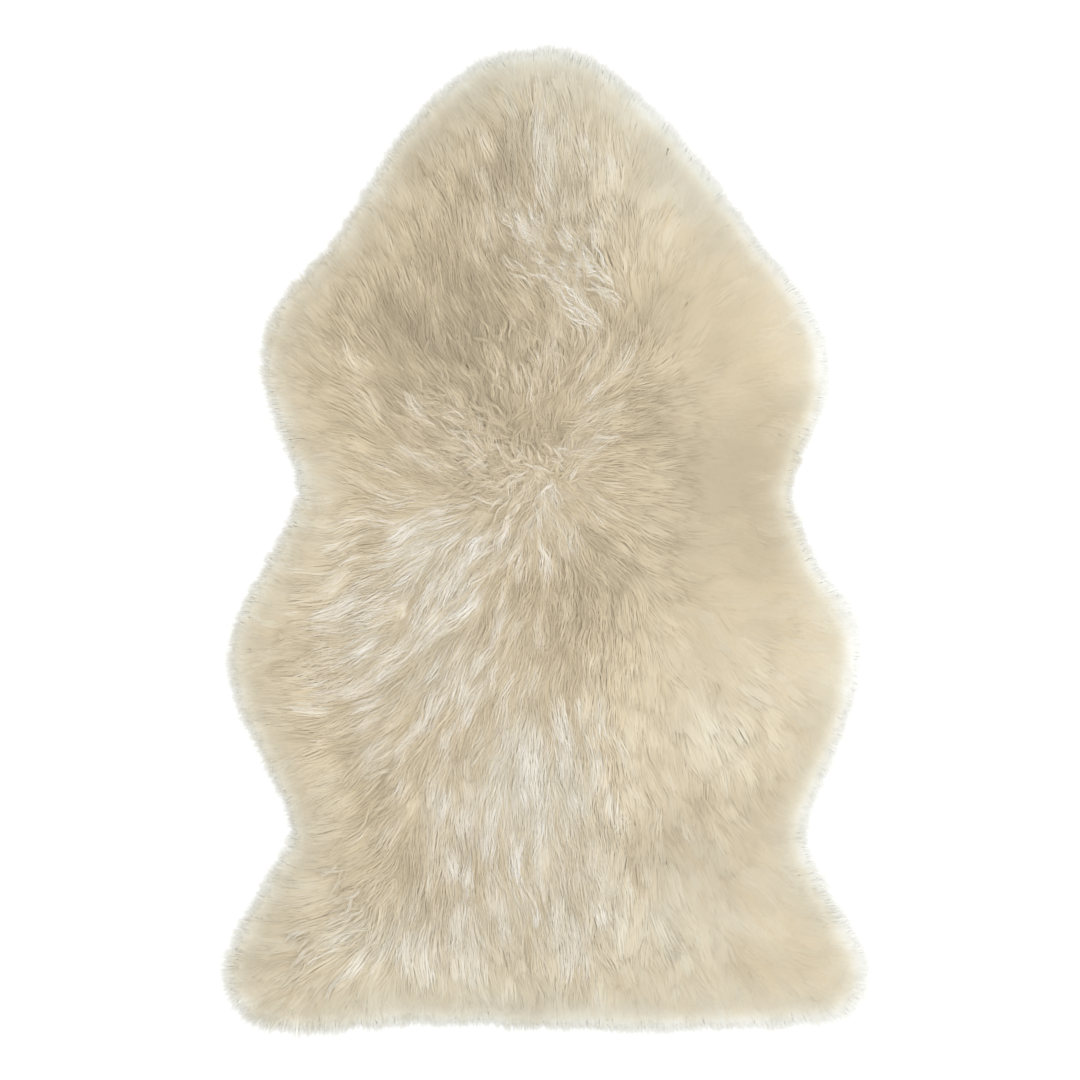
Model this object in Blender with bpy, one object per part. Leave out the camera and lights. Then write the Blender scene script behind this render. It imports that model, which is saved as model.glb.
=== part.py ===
"""A sheepskin rug lying flat with its wool up: a tanned hide and the long wool that grows from it.

Metres, +Z up. The origin is on the floor under the middle of the rug, and +Y points to the neck end.
The hide is a flat sheet on the floor. The fleece is one lumpy slab over it, higher inside than at
the rim, and its rim ends in locks that fall over the hide's edge and lie on the floor.
"""

import math
import random
from collections import namedtuple

import bmesh
import bpy
from mathutils import Matrix, Vector, noise
from mathutils.geometry import delaunay_2d_cdt, interpolate_bezier, intersect_point_line

MM = 0.001

# Driving sizes, in metres
HIDE_THICK = 0.002
CLEARANCE = 0.0003  # between the wool and the hide
WOOL_REACH = 0.034  # how far the wool falls past the hide's edge
LOCK_REACH = 0.024  # how much of that is separate locks
PILE_HEIGHT = 0.046  # of the lying wool, well inside the rim
RIM_HEIGHT = 0.022  # of the wool where the rim locks part
RIM_SLOPE = 0.062  # how far in from the locks' roots the wool reaches its full height
RIM_FALL = 0.004  # how unevenly the rim stands
LUMP_HEIGHT = 0.006
LUMP_SIZE = 0.075  # from one broad lump to the next
TUFT_HEIGHT = 0.007
TUFT_WIDTH = 0.030  # of the combed tufts, across the combing
TUFT_STEP = 0.011  # between the places that are averaged to draw a tuft out along the combing
TUFT_REACH = 2  # such places each way
SURFACE_PITCH = 0.0152  # between the points of the upper face
LOCK_COUNT = 256
LOCK_SEED = 4
LOCK_LEAN = math.radians(7)  # of a stretch of the rim, and as much again between neighbours
LOCK_END_BEND = 1.5  # how much of its lean a lock has at its point
LOCK_WIDTH_UNEVEN = 0.38  # shares by which a lock is wider, longer or higher than the rest
LOCK_REACH_UNEVEN = 0.22
LOCK_HEIGHT_UNEVEN = 0.14
LOCK_TIP_RISE = 0.0012  # of a lock's point over the floor
WHORL = Vector((-0.017, 0.075))  # the place on the back from which the wool is combed outwards
CURVE_STEPS = 12  # points on the smooth outline between two landmarks
CURVE_TENSION = 1 / 6  # share of the way between a landmark's neighbours that its tangent takes
RIM_SPAN = 5  # stations each way that the rim's outward direction is read over
EDGE_GAP = 0.6  # pitches left free between the grid of the upper face and the rim
RIM_LUMPS = 0.3  # share of the lumps' height that is left at the rim
SAME_PLACE = 1e-7
SHARP_ANGLE = math.radians(50)

# Separate layers of one noise, so that what they shape is unlike
BROAD_LAYER, TUFT_LAYER, RIM_LAYER, LEAN_LAYER = 3.0, 7.0, 5.0, 11.0

# Where the wool's tips reach, clockwise from the neck. A smooth closed curve passes through these.
Landmark = namedtuple("Landmark", ("where", "x_mm", "y_mm"))
OUTLINE = (
    Landmark("neck crown", 0, 459),
    Landmark("neck, right", 57, 441),
    Landmark("neck side, right", 136, 364),
    Landmark("shoulder rise, right", 201, 275),
    Landmark("shoulder top, right", 244, 224),
    Landmark("shoulder, right", 265, 158),
    Landmark("shoulder under, right", 251, 105),
    Landmark("waist, right", 228, 46),
    Landmark("flank rise, right", 252, -20),
    Landmark("flank top, right", 286, -68),
    Landmark("flank, right", 294, -120),
    Landmark("flank under, right", 273, -194),
    Landmark("hollow, right", 241, -274),
    Landmark("leg rise, right", 267, -337),
    Landmark("leg, right", 297, -389),
    Landmark("leg corner, right", 292, -433),
    Landmark("leg under, right", 250, -452),
    Landmark("tail, right", 140, -458),
    Landmark("tail, middle", 10, -457),
    Landmark("tail, left", -105, -452),
    Landmark("leg under, left", -205, -459),
    Landmark("leg heel, left", -262, -455),
    Landmark("leg corner, left", -294, -430),
    Landmark("leg, left", -297, -396),
    Landmark("leg rise, left", -268, -334),
    Landmark("hollow, left", -235, -272),
    Landmark("flank under, left", -262, -207),
    Landmark("flank, left", -294, -126),
    Landmark("flank top, left", -283, -68),
    Landmark("flank rise, left", -250, -6),
    Landmark("waist, left", -228, 52),
    Landmark("shoulder under, left", -249, 108),
    Landmark("shoulder, left", -264, 170),
    Landmark("shoulder top, left", -246, 224),
    Landmark("shoulder rise, left", -195, 281),
    Landmark("neck side, left", -130, 382),
    Landmark("neck, left", -66, 443),
)

# The cross sections of one rim lock, from its root to its point, as shares of its reach and root
Section = namedtuple("Section", ("reach", "width", "height", "bend"))
LOCK_SECTIONS = (
    Section(reach=0.38, width=0.88, height=0.84, bend=0.4),
    Section(reach=0.76, width=0.56, height=0.46, bend=1.0),
)

WOOL_COLOUR = (0.62, 0.54, 0.41, 1.0)
HIDE_COLOUR = (0.66, 0.56, 0.42, 1.0)


def clear_scene():
    for item in list(bpy.data.objects):
        bpy.data.objects.remove(item)


def finish_material(name, colour, roughness):
    material = bpy.data.materials.new(name)
    material.use_nodes = True
    shader = material.node_tree.nodes["Principled BSDF"]
    shader.inputs["Base Color"].default_value = colour
    shader.inputs["Roughness"].default_value = roughness
    shader.inputs["Metallic"].default_value = 0.0
    return material


def smooth_loop(landmarks):
    """Points of a smooth closed curve through the landmarks."""
    loop = []
    for i, start in enumerate(landmarks):
        end = landmarks[(i + 1) % len(landmarks)]
        after = landmarks[(i + 2) % len(landmarks)]
        leave = start + (end - landmarks[i - 1]) * CURVE_TENSION
        arrive = end - (after - start) * CURVE_TENSION
        loop += interpolate_bezier(start, leave, arrive, end, CURVE_STEPS + 1)[:-1]
    return loop


def lock_stations(loop, chance):
    """The places where the locks meet along a closed loop, at uneven steps."""
    ends = loop[1:] + loop[:1]
    sides = [(end - start).length for start, end in zip(loop, ends)]
    widths = [1 + LOCK_WIDTH_UNEVEN * chance.uniform(-1, 1) for _ in range(LOCK_COUNT)]
    scale = sum(sides) / sum(widths)
    stations, side, passed, wanted = [], 0, 0.0, 0.0
    for width in widths:
        while passed + sides[side] < wanted:
            passed += sides[side]
            side += 1
        share = (wanted - passed) / sides[side]
        stations.append(loop[side].lerp(ends[side], share))
        wanted += width * scale
    return stations


def outward_normals(stations, span):
    """The outward direction at each station of a clockwise loop, read over span stations each way."""
    normals = []
    for i in range(len(stations)):
        ahead = stations[(i + span) % len(stations)]
        along = (ahead - stations[i - span]).normalized()
        normals.append(Vector((-along.y, along.x)))
    return normals


def moved_in(stations, normals, distance):
    return [place - normal * distance for place, normal in zip(stations, normals)]


def rim_distance(place, loop):
    """The shortest way from a place to a closed loop."""
    nearest = math.inf
    for start, end in zip(loop, loop[1:] + loop[:1]):
        share = min(max(intersect_point_line(place, start, end)[1], 0.0), 1.0)
        nearest = min(nearest, (start.lerp(end, share) - place).length)
    return nearest


def inside(place, loop):
    """True if the place lies within the closed loop."""
    crossings = 0
    for start, end in zip(loop, loop[1:] + loop[:1]):
        if (start.y > place.y) != (end.y > place.y):
            x = start.x + (place.y - start.y) * (end.x - start.x) / (end.y - start.y)
            crossings += x > place.x
    return crossings % 2 == 1


def uneven(place, size, layer):
    """Smooth noise from -1 to 1 whose lumps are about size apart."""
    return noise.noise(Vector((place.x / size, place.y / size, layer)))


def tufts(place):
    """Noise that is drawn out along the combing, away from the whorl."""
    combing = (place - WHORL).normalized()
    steps = range(-TUFT_REACH, TUFT_REACH + 1)
    near = [uneven(place + combing * TUFT_STEP * k, TUFT_WIDTH, TUFT_LAYER) for k in steps]
    return sum(near) / math.sqrt(len(near))


def pile_height(place, from_rim):
    """The height of the lying wool at a place, by its distance from the roots of the rim locks."""
    rise = math.sin(math.pi / 2 * min(from_rim / RIM_SLOPE, 1.0))
    crown = RIM_HEIGHT + (PILE_HEIGHT - RIM_HEIGHT) * rise
    lumps = LUMP_HEIGHT * uneven(place, LUMP_SIZE, BROAD_LAYER) + TUFT_HEIGHT * tufts(place)
    return crown + lumps * (RIM_LUMPS + (1 - RIM_LUMPS) * rise)


def surface_points(loop):
    """(place, distance from the loop) of an even triangular grid inside the loop."""
    row_pitch = SURFACE_PITCH * math.sqrt(3) / 2
    low = Vector((min(p.x for p in loop), min(p.y for p in loop)))
    high = Vector((max(p.x for p in loop), max(p.y for p in loop)))
    found = []
    for row in range(int((high.y - low.y) / row_pitch) + 1):
        shift = SURFACE_PITCH / 2 * (row % 2)
        for column in range(int((high.x - low.x) / SURFACE_PITCH) + 1):
            place = low + Vector((shift + column * SURFACE_PITCH, row * row_pitch))
            if not inside(place, loop):
                continue
            distance = rim_distance(place, loop)
            if distance > EDGE_GAP * SURFACE_PITCH:
                found.append((place, distance))
    return found


def fill_face(shape, loop_verts, extra=()):
    """Fills a closed loop of vertices, with extra (place, height) points inside it."""
    flat = [vert.co.xy for vert in loop_verts] + [place for place, height in extra]
    sides = [(i, (i + 1) % len(loop_verts)) for i in range(len(loop_verts))]
    made = delaunay_2d_cdt(flat, sides, [], 1, SAME_PLACE)
    inner = [shape.verts.new((place.x, place.y, height)) for place, height in extra]
    verts = list(loop_verts) + inner
    for corners in made[2]:
        shape.faces.new([verts[made[3][k][0]] for k in corners])


def ring_of(shape, places, height):
    """A loop of vertices. height is one number, or one for each place."""
    heights = height if isinstance(height, list) else [height] * len(places)
    return [shape.verts.new((p.x, p.y, z)) for p, z in zip(places, heights)]


def bridge(shape, outer, inner):
    """Quads between two loops of as many vertices."""
    for i in range(len(outer)):
        j = (i + 1) % len(outer)
        shape.faces.new((outer[i], outer[j], inner[j], inner[i]))


def add_lock(shape, foot, top, reach, lean, height):
    """One four-sided lock on the wall between two stations, which bends and narrows to a point."""
    ring = [foot[0], foot[1], top[1], top[0]]
    middle = (foot[0].co + foot[1].co).xy / 2
    across = (foot[1].co - foot[0].co).xy
    outward = Vector((-across.y, across.x)).normalized()
    gone = 0.0
    for section in LOCK_SECTIONS:
        turn = Matrix.Rotation(lean * section.bend, 2)
        middle = middle + turn @ outward * reach * (section.reach - gone)
        gone = section.reach
        side = turn @ across / 2 * section.width
        places = (middle - side, middle + side)
        low = [shape.verts.new((p.x, p.y, 0.0)) for p in places]
        high = [shape.verts.new((p.x, p.y, height * section.height)) for p in places]
        corners = [low[0], low[1], high[1], high[0]]
        bridge(shape, ring, corners)
        ring = corners
    end = middle + Matrix.Rotation(lean * LOCK_END_BEND, 2) @ outward * reach * (1 - gone)
    point = shape.verts.new((end.x, end.y, LOCK_TIP_RISE))
    for i in range(len(ring)):
        shape.faces.new((ring[i], ring[(i + 1) % len(ring)], point))


def as_object(shape, name, material):
    bmesh.ops.recalc_face_normals(shape, faces=shape.faces)
    mesh = bpy.data.meshes.new(name)
    shape.to_mesh(mesh)
    shape.free()
    mesh.materials.append(material)
    mesh.shade_smooth()
    mesh.set_sharp_from_angle(angle=SHARP_ANGLE)
    item = bpy.data.objects.new(name, mesh)
    bpy.context.scene.collection.objects.link(item)
    return item


def make_hide(edge):
    """The tanned skin, flat on the floor."""
    shape = bmesh.new()
    lower = ring_of(shape, edge, 0.0)
    upper = ring_of(shape, edge, HIDE_THICK)
    fill_face(shape, lower)
    fill_face(shape, upper)
    bridge(shape, lower, upper)
    return as_object(shape, "hide", finish_material("suede", HIDE_COLOUR, 0.9))


def make_fleece(tips, normals, pocket, chance):
    """The wool as one solid, with a shallow pocket under it that the hide fills."""
    shape = bmesh.new()
    roots = moved_in(tips, normals, LOCK_REACH)
    heights = [RIM_HEIGHT + RIM_FALL * uneven(p, LUMP_SIZE, RIM_LAYER) for p in roots]
    foot = ring_of(shape, roots, 0.0)
    top = ring_of(shape, roots, heights)
    grid = [(p, pile_height(p, d)) for p, d in surface_points(roots)]
    fill_face(shape, top, grid)
    mouth = ring_of(shape, pocket, 0.0)
    ceiling = ring_of(shape, pocket, HIDE_THICK + CLEARANCE)
    bridge(shape, foot, mouth)
    bridge(shape, mouth, ceiling)
    fill_face(shape, ceiling)
    for i, place in enumerate(roots):
        j = (i + 1) % LOCK_COUNT
        reach = LOCK_REACH * (1 + LOCK_REACH_UNEVEN * chance.uniform(-1, 1))
        lean = LOCK_LEAN * (uneven(place, LUMP_SIZE, LEAN_LAYER) + chance.uniform(-1, 1))
        height = heights[i] * (1 + LOCK_HEIGHT_UNEVEN * chance.uniform(-1, 1))
        add_lock(shape, (foot[i], foot[j]), (top[i], top[j]), reach, lean, height)
    return as_object(shape, "fleece", finish_material("wool", WOOL_COLOUR, 0.95))


def centre_on_origin(items, widest):
    """Moves the meshes so that the widest one's box is centred over the origin."""
    places = [vert.co.xy for vert in widest.data.vertices]
    low = Vector((min(p.x for p in places), min(p.y for p in places)))
    high = Vector((max(p.x for p in places), max(p.y for p in places)))
    middle = (low + high) / 2
    for item in items:
        for vert in item.data.vertices:
            vert.co.xy -= middle


def main():
    clear_scene()
    landmarks = [Vector((row.x_mm * MM, row.y_mm * MM)) for row in OUTLINE]
    chance = random.Random(LOCK_SEED)
    tips = lock_stations(smooth_loop(landmarks), chance)
    normals = outward_normals(tips, RIM_SPAN)
    hide_edge = moved_in(tips, normals, WOOL_REACH)
    pocket = moved_in(hide_edge, outward_normals(hide_edge, 1), -CLEARANCE)
    hide = make_hide(hide_edge)
    fleece = make_fleece(tips, normals, pocket, chance)
    centre_on_origin([hide, fleece], fleece)


main()
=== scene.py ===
"""A long-wool sheepskin rug, lying flat with its wool up and seen from straight above.

The wool is combed outwards from a whorl on the back. It is grown strand by strand in tufts that follow
a combing field, lie over one another like shingles and fall over the hide's edge to the floor. Under
the strands lies a body of matted underwool, and under that the tanned hide.

Metres, +Z up, +Y to the neck end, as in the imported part. Places in the tables are in millimetres.
"""

import functools
import math
from collections import namedtuple

import bpy
import numpy as np
from bpy.props import FloatProperty, FloatVectorProperty, IntProperty, PointerProperty
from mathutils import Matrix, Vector, noise
from mathutils.bvhtree import BVHTree


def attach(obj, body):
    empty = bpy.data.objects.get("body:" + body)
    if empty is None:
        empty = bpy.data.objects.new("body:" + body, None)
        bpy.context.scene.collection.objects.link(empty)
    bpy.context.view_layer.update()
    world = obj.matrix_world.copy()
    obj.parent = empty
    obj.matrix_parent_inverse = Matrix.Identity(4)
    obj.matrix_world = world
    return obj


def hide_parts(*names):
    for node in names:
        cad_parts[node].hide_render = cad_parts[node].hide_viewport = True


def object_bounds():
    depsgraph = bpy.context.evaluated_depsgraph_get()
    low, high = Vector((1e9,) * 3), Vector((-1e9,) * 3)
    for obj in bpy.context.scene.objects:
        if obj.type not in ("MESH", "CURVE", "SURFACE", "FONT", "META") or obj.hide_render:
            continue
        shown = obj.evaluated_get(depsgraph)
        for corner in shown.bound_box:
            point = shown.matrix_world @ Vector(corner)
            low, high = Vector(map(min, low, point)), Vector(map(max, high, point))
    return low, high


bl_info = {
    "name": "Sheepskin rug",
    "version": (1, 0, 0),
    "blender": (4, 5, 0),
    "location": "3D View > Sidebar > Rug",
    "description": "Dresses the packed sheepskin with combed wool and sets it on a pale floor",
    "category": "Object",
}

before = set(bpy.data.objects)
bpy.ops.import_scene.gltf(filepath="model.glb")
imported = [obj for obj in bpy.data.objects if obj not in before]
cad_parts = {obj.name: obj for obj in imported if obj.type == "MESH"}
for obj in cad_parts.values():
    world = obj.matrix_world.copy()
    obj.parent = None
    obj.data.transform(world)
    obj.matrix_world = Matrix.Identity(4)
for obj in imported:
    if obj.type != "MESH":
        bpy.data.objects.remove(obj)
CAD_LOW, CAD_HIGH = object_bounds()

MM = 0.001
DOWN = Vector((0, 0, -1))

# The grid on which the height of the wool, the way to the hide's edge and the combing are kept
GRID_PITCH = 3 * MM
GRID_BORDER = 24 * MM

# How the combing turns towards the rim: from not at all inside the hide's edge to mostly outwards past it
TURN_START, TURN_FULL = 14 * MM, -28 * MM
TURN_MOST = 0.65
STROKE_REACH = 38 * MM  # of one stroke of the comb, sideways and lengthwise

# The whorl, how far round it the wool lies straight away from it, and how far round it the wool swirls
WHORL_X, WHORL_Y = -17 * MM, 75 * MM
WHORL_REACH = 24 * MM
SWIRL_REACH = 42 * MM

# The locks' painted sheen shows as streaks along the combing
STREAK_WIDTH = 8 * MM
STREAK_REACH = 18 * MM

# The wool is brushed smooth to the right of the back and round the rim
SILK_START, SILK_FULL = 15 * MM, 130 * MM
SILK_RIM = 78 * MM
SILK_AT_RIM = 0.88

# The ash away from the patches and the ash that the rim adds, and the painted light that makes the rim
# paler, with more on its silky side
ASH, RIM_ASH = 0.18, 0.65
RIM_PAINTED_LIGHT, SILKY_RIM_PAINTED_LIGHT = 0.6, 0.14

STEEPEST = 1.2  # of the slopes that strands lie along
CRIMP_SHORTENING = 0.35  # of a fully crimped strand


def named_rows(columns, *rows):
    """A table's rows, whose values go by the names of its columns."""
    row = namedtuple("row", columns)
    return tuple(row(*values) for values in rows)


# The strokes of the comb, row by row from the neck end down, each a place and a heading in degrees. Most
# headings come from a program that measured the photograph's strands every 45 pixels, not from the eye.
COMBING = named_rows(
    "where y_mm strokes",
    ("neck crown", 405, ((-60, 124), (11, 104), (75, 94))),
    ("neck", 345, ((-120, 113), (-73, 114), (-31, 107), (11, 97), (53, 93), (100, 80))),
    ("over the crimped patch", 300, ((-160, 114), (-115, 112), (-65, 97), (-20, 116), (53, 92), (115, 66))),
    ("crimped patch", 258,
     ((-170, 122), (-110, 108), (-70, 98), (-15, 127), (15, 134), (53, 118), (95, 84))),
    ("shoulders, front", 240, ((-220, 142), (137, 50), (190, 42))),
    ("shoulders", 214, ((-160, 108), (-115, 103), (-65, 110), (-20, 112), (15, 118), (53, 136), (95, 78))),
    ("under the patch", 178,
     ((-240, 147), (-195, 142), (-120, 100), (-65, 112), (-20, 108), (15, 98), (58, 74))),
    ("shoulders, back", 172, ((100, 62), (145, 44), (190, 26), (240, 18))),
    ("above the whorl", 134, ((-235, 150), (-190, 150), (-150, 142), (-105, 143), (-60, 124), (30, 42))),
    ("over the whorl", 148, ((-25, 92), (12, 56), (56, 28))),
    ("right of the whorl", 126, ((70, 28), (115, 28), (160, 14), (215, 0))),
    ("whorl, upper side", 104, ((-30, 106), (14, 50), (54, 10), (95, -4), (137, -4), (180, -20))),
    ("whorl", 80,
     ((-200, 162), (-150, 152), (-105, 146), (-68, 148), (45, 8), (95, -5), (145, -4), (195, -14))),
    ("whorl, lower side", 52, ((-155, 160), (-112, 148), (-72, 148), (60, -14), (100, -5), (145, -4))),
    ("waist", 14, ((-215, 178), (-180, 186), (-140, 204), (-100, 220), (-60, 226), (-25, 240), (5, 288))),
    ("waist, right", 10, ((45, -50), (95, -28), (140, -8), (190, -14))),
    ("under the whorl", -45,
     ((-235, 184), (-195, 191), (-155, 214), (-110, 237), (-70, 238), (-30, 242), (10, 300))),
    ("belly, right", -48, ((55, -50), (100, -34), (150, -14), (205, -10))),
    ("belly, front", -76, ((12, 246), (53, 248), (95, 270), (137, -34), (182, -8))),
    ("right of the belly", -24, ((137, 2), (182, -8))),
    ("belly", -108,
     ((-235, 184), (-195, 192), (-155, 212), (-110, 236), (-70, 236), (-30, 250), (25, 278))),
    ("flank right", -108, ((75, -84), (120, -74), (137, -74), (170, -42), (225, -16))),
    ("middle of the back", -165,
     ((-235, 178), (-195, 186), (-155, 220), (-110, 236), (-70, 234), (-30, 256), (15, 276))),
    ("rump right, front", -165, ((60, 276), (105, 283), (150, 288), (200, -50))),
    ("rump", -230, ((-195, 206), (-155, 240), (-110, 252), (-70, 260), (-25, 268), (20, 274), (60, 278))),
    ("rump right", -230, ((105, 286), (150, 288), (195, -62))),
    ("hollows", -285,
     ((-205, 190), (-165, 222), (-120, 268), (-70, 274), (-20, 276), (25, 278), (65, 272), (105, 280))),
    ("hollow right", -300, ((145, 300), (190, 300), (215, -20))),
    ("above the legs", -350,
     ((-240, 180), (-200, 204), (-160, 226), (-115, 270), (-65, 282), (-20, 280), (25, 280))),
    ("above the leg right", -350, ((75, 283), (125, 297), (180, 300), (235, -20))),
    ("legs", -400,
     ((-275, 200), (-240, 204), (-200, 226), (-155, 242), (-105, 272), (-60, 285), (-10, 284))),
    ("leg right", -400, ((40, 276), (90, 290), (140, 296), (190, -50), (250, -22))),
    ("tail", -445,
     ((-240, 215), (-195, 240), (-150, 256), (-90, 270), (-30, 276), (30, 272), (90, 284), (160, -62))),
)

# Where the wool is paler, tint above 0, or deeper, and where it is greyer, ash above 0, or warmer
PATCHES = named_rows(
    "where x_mm y_mm reach_mm tint ash",
    ("neck crown", 0, 430, 110, 0.08, 0.70),
    ("neck, left of the middle", -58, 345, 58, -0.24, 0.0),
    ("shoulder left", -106, 182, 78, -0.32, -0.40),
    ("above the whorl", -50, 215, 50, -0.10, 0.0),
    ("parting at the whorl", -12, 92, 9, -0.25, -0.2),
    ("parting beside the whorl", 8, 101, 9, -0.25, -0.2),
    ("whorl", -17, 100, 32, -0.05, -0.2),
    ("under the parting", -8, 30, 32, 0.16, 0.05),
    ("middle of the whorl", 5, 67, 12, -0.22, -0.15),
    ("right of the whorl", 36, 62, 46, 0.16, 0.05),
    ("shoulder right", 120, 320, 75, 0.02, 0.70),
    ("right flank", 180, -130, 90, 0.0, 0.45),
    ("leg right", 165, -330, 110, -0.02, 0.60),
    ("leg left", -215, -380, 80, 0.03, 0.42),
    ("crimped patch", 18, 250, 36, -0.10, 0.05),
    ("crimped patch, pale foot", 34, 206, 18, 0.06, 0.15),
    ("sweep over the whorl", 66, 172, 26, 0.04, 0.20),
    ("right of the crimped patch", 82, 208, 42, -0.18, 0.0),
    ("right side", 150, 55, 105, -0.26, -0.10),
    ("right rim", 265, 190, 80, 0.22, 0.4),
    ("right flank's rim", 300, -90, 80, 0.22, 0.3),
    ("leg right, rim", 290, -420, 70, 0.14, 0.25),
    ("back left", -104, -16, 40, 0.16, 0.50),
    ("left side", -190, -60, 70, 0.05, 0.30),
    ("pale middle", -95, -118, 40, 0.08, 0.25),
    ("under the whorl", 42, -70, 52, -0.20, -0.25),
    ("pale rump", -16, -225, 50, 0.16, 0.40),
    ("rump", 0, -260, 150, 0.03, 0.30),
    ("pale flank right", 158, -178, 34, 0.12, 0.35),
    ("rump left", -149, -297, 36, -0.14, -0.10),
    ("rump right", 118, -285, 62, -0.22, 0.0),
    ("tail left", -100, -405, 70, 0.05, 0.35),
    ("tail right", 118, -355, 50, 0.08, 0.30),
    ("tail", 30, -440, 120, 0.0, 0.35),
)

# Where the locks shine: how much stronger their streaks show
SHINES = named_rows(
    "where x_mm y_mm reach_mm gain",
    ("neck left", -70, 330, 50, 0.6),
    ("back left", -100, -60, 60, 0.7),
    ("left side", -170, -60, 70, 0.6),
    ("rump", 10, -240, 90, 0.8),
    ("flank right", 150, -150, 50, 1.2),
    ("rump right", 110, -300, 70, 0.7),
    ("tail left", -120, -380, 80, 0.6),
)

# Where the brushed side lies smoother, gain above 0, or keeps its locks
SILKY = named_rows(
    "where x_mm y_mm reach_mm gain",
    ("flank right", 165, -190, 70, -0.45),
    ("above the leg right", 110, -370, 60, -0.2),
)

# Where single strands stand out more from one another
CRISP = named_rows(
    "where x_mm y_mm reach_mm gain",
    ("crimped patch", 24, 246, 60, 0.8),
    ("whorl", -30, 75, 70, 0.9),
    ("shoulder left", -170, 150, 70, 0.3),
    ("left of the whorl", -100, 20, 70, 0.6),
    ("back left", -135, -50, 75, 1.2),
    ("tail", -30, -390, 110, -0.6),
)

# Where the wool keeps its crimp, from 0, combed straight, to 1
CRIMPED = named_rows(
    "where x_mm y_mm reach_mm amount",
    ("crimped patch", 24, 246, 42, 1.0),
    ("round the whorl", -30, 80, 62, 0.75),
    ("sweep over the whorl", 52, 120, 40, 0.5),
    ("back", 0, -30, 70, 0.4),
)

# Locks that stand out from the rest. Their roots lie along a line, x_mm, y_mm to to_x_mm, to_y_mm, and
# up to aside_mm beside it. Each starts at a heading and turns by turn_deg on the way to its tip.
LOCK_COLUMNS = (
    "x_mm y_mm to_x_mm to_y_mm aside_mm heading_deg sway_deg turn_deg "
    "length_mm radius_mm locks crimp tint contrast"
)
LOCKS = named_rows(
    "where " + LOCK_COLUMNS,
    ("crimped patch, upper tips", -28, 282, -8, 270, 6, 128, 6, -6, 32, 1.8, 12, 1.0, 0.06, 1.1),
    ("crimped patch, curled tips", -6, 264, 12, 274, 6, 138, 6, -20, 38, 2.0, 18, 1.0, 0.08, 1.2),
    ("crimped patch, right tips", 16, 262, 32, 266, 6, 130, 6, -8, 32, 1.8, 10, 0.8, 0.02, 1.0),
    ("crimped patch, long", 4, 246, 36, 252, 7, 142, 6, -10, 46, 2.0, 28, 1.0, 0.11, 1.2),
    ("crimped patch, lower left", -12, 240, 4, 226, 4, 142, 5, 4, 36, 1.8, 8, 0.9, 0.0, 1.2),
    ("crimped patch, middle", 30, 230, 58, 238, 7, 140, 6, 6, 44, 2.0, 28, 1.0, 0.12, 1.4),
    ("crimped patch, under the middle", 14, 232, 36, 214, 6, 136, 6, 8, 42, 2.0, 20, 1.0, 0.10, 1.2),
    ("crimped patch, arched", 70, 206, 62, 226, 6, 118, 6, 46, 42, 2.0, 13, 0.8, 0.04, 1.2),
    ("crimped patch, foot", 58, 192, 38, 210, 8, 146, 6, -8, 46, 2.2, 22, 0.8, 0.08, 1.3),
    ("crimped patch, right", 40, 242, 54, 246, 6, 128, 7, -10, 34, 1.9, 12, 0.8, 0.04, 1.2),
    ("sweep over the whorl", 14, 146, 40, 134, 9, 16, 7, 84, 70, 3.6, 20, 0.2, 0.0, 0.4),
    ("sweep, shining tips", 62, 146, 68, 154, 4, 50, 8, 44, 34, 2.2, 3, 0.2, 0.04, 0.5),
    ("curls left of the whorl", -34, 84, -100, 116, 20, 150, 14, 6, 36, 2.2, 46, 0.9, -0.03, 0.8),
    ("curls over the whorl", -90, 150, 24, 160, 34, 108, 16, 8, 26, 2.0, 70, 0.9, -0.03, 0.7),
    ("curls at the whorl", -28, 84, 18, 60, 12, 110, 60, 20, 18, 2.0, 28, 0.8, -0.08, 0.8),
    ("curls under the whorl", -66, 78, -22, 50, 16, 212, 16, 8, 30, 2.0, 18, 0.8, -0.06, 0.8),
    ("curls at the hollow, left", -186, -296, -166, -356, 9, 238, 18, -26, 26, 3.0, 16, 0.6, -0.06, 0.6),
    ("curls, leg left", -226, -362, -184, -394, 9, 214, 10, 14, 30, 3.5, 12, 0.5, -0.02, 0.5),
    ("curls, flank left", -120, -190, -150, -250, 12, 240, 16, -14, 30, 3.0, 12, 0.5, -0.03, 0.5),
)
CRIMPED_FROM = 0.45  # the crimp from which a lock is modelled with all its waves

# The pieces that the combed wool is kept in, from the neck end down, with as many tufts in each
WOOL_PIECES = ("wool_neck", "wool_shoulders", "wool_waist", "wool_flanks", "wool_tail")


def clear_selection():
    for item in bpy.context.selected_objects:
        item.select_set(False)


def smooth_step(value, low, high):
    """0 below low, 1 above high, and smooth between."""
    share = np.clip((value - low) / (high - low), 0, 1)
    return share * share * (3 - 2 * share)


def unit(vectors):
    """Vectors of the same directions and of length 1."""
    return vectors / (np.linalg.norm(vectors, axis=-1, keepdims=True) + 1e-12)


def turned(x, y, angle):
    return x * np.cos(angle) - y * np.sin(angle), x * np.sin(angle) + y * np.cos(angle)


def beside_cells(wide):
    """The cells on the four sides of each cell of a grid, from the grid with a border."""
    return wide[:-2, 1:-1], wide[2:, 1:-1], wide[1:-1, :-2], wide[1:-1, 2:]


def softened(grid, passes):
    """A grid whose cells are averaged with their neighbours, some times over."""
    for _ in range(passes):
        grid = (sum(beside_cells(np.pad(grid, 1, mode="edge"))) + 2 * grid) / 6
    return grid


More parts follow.
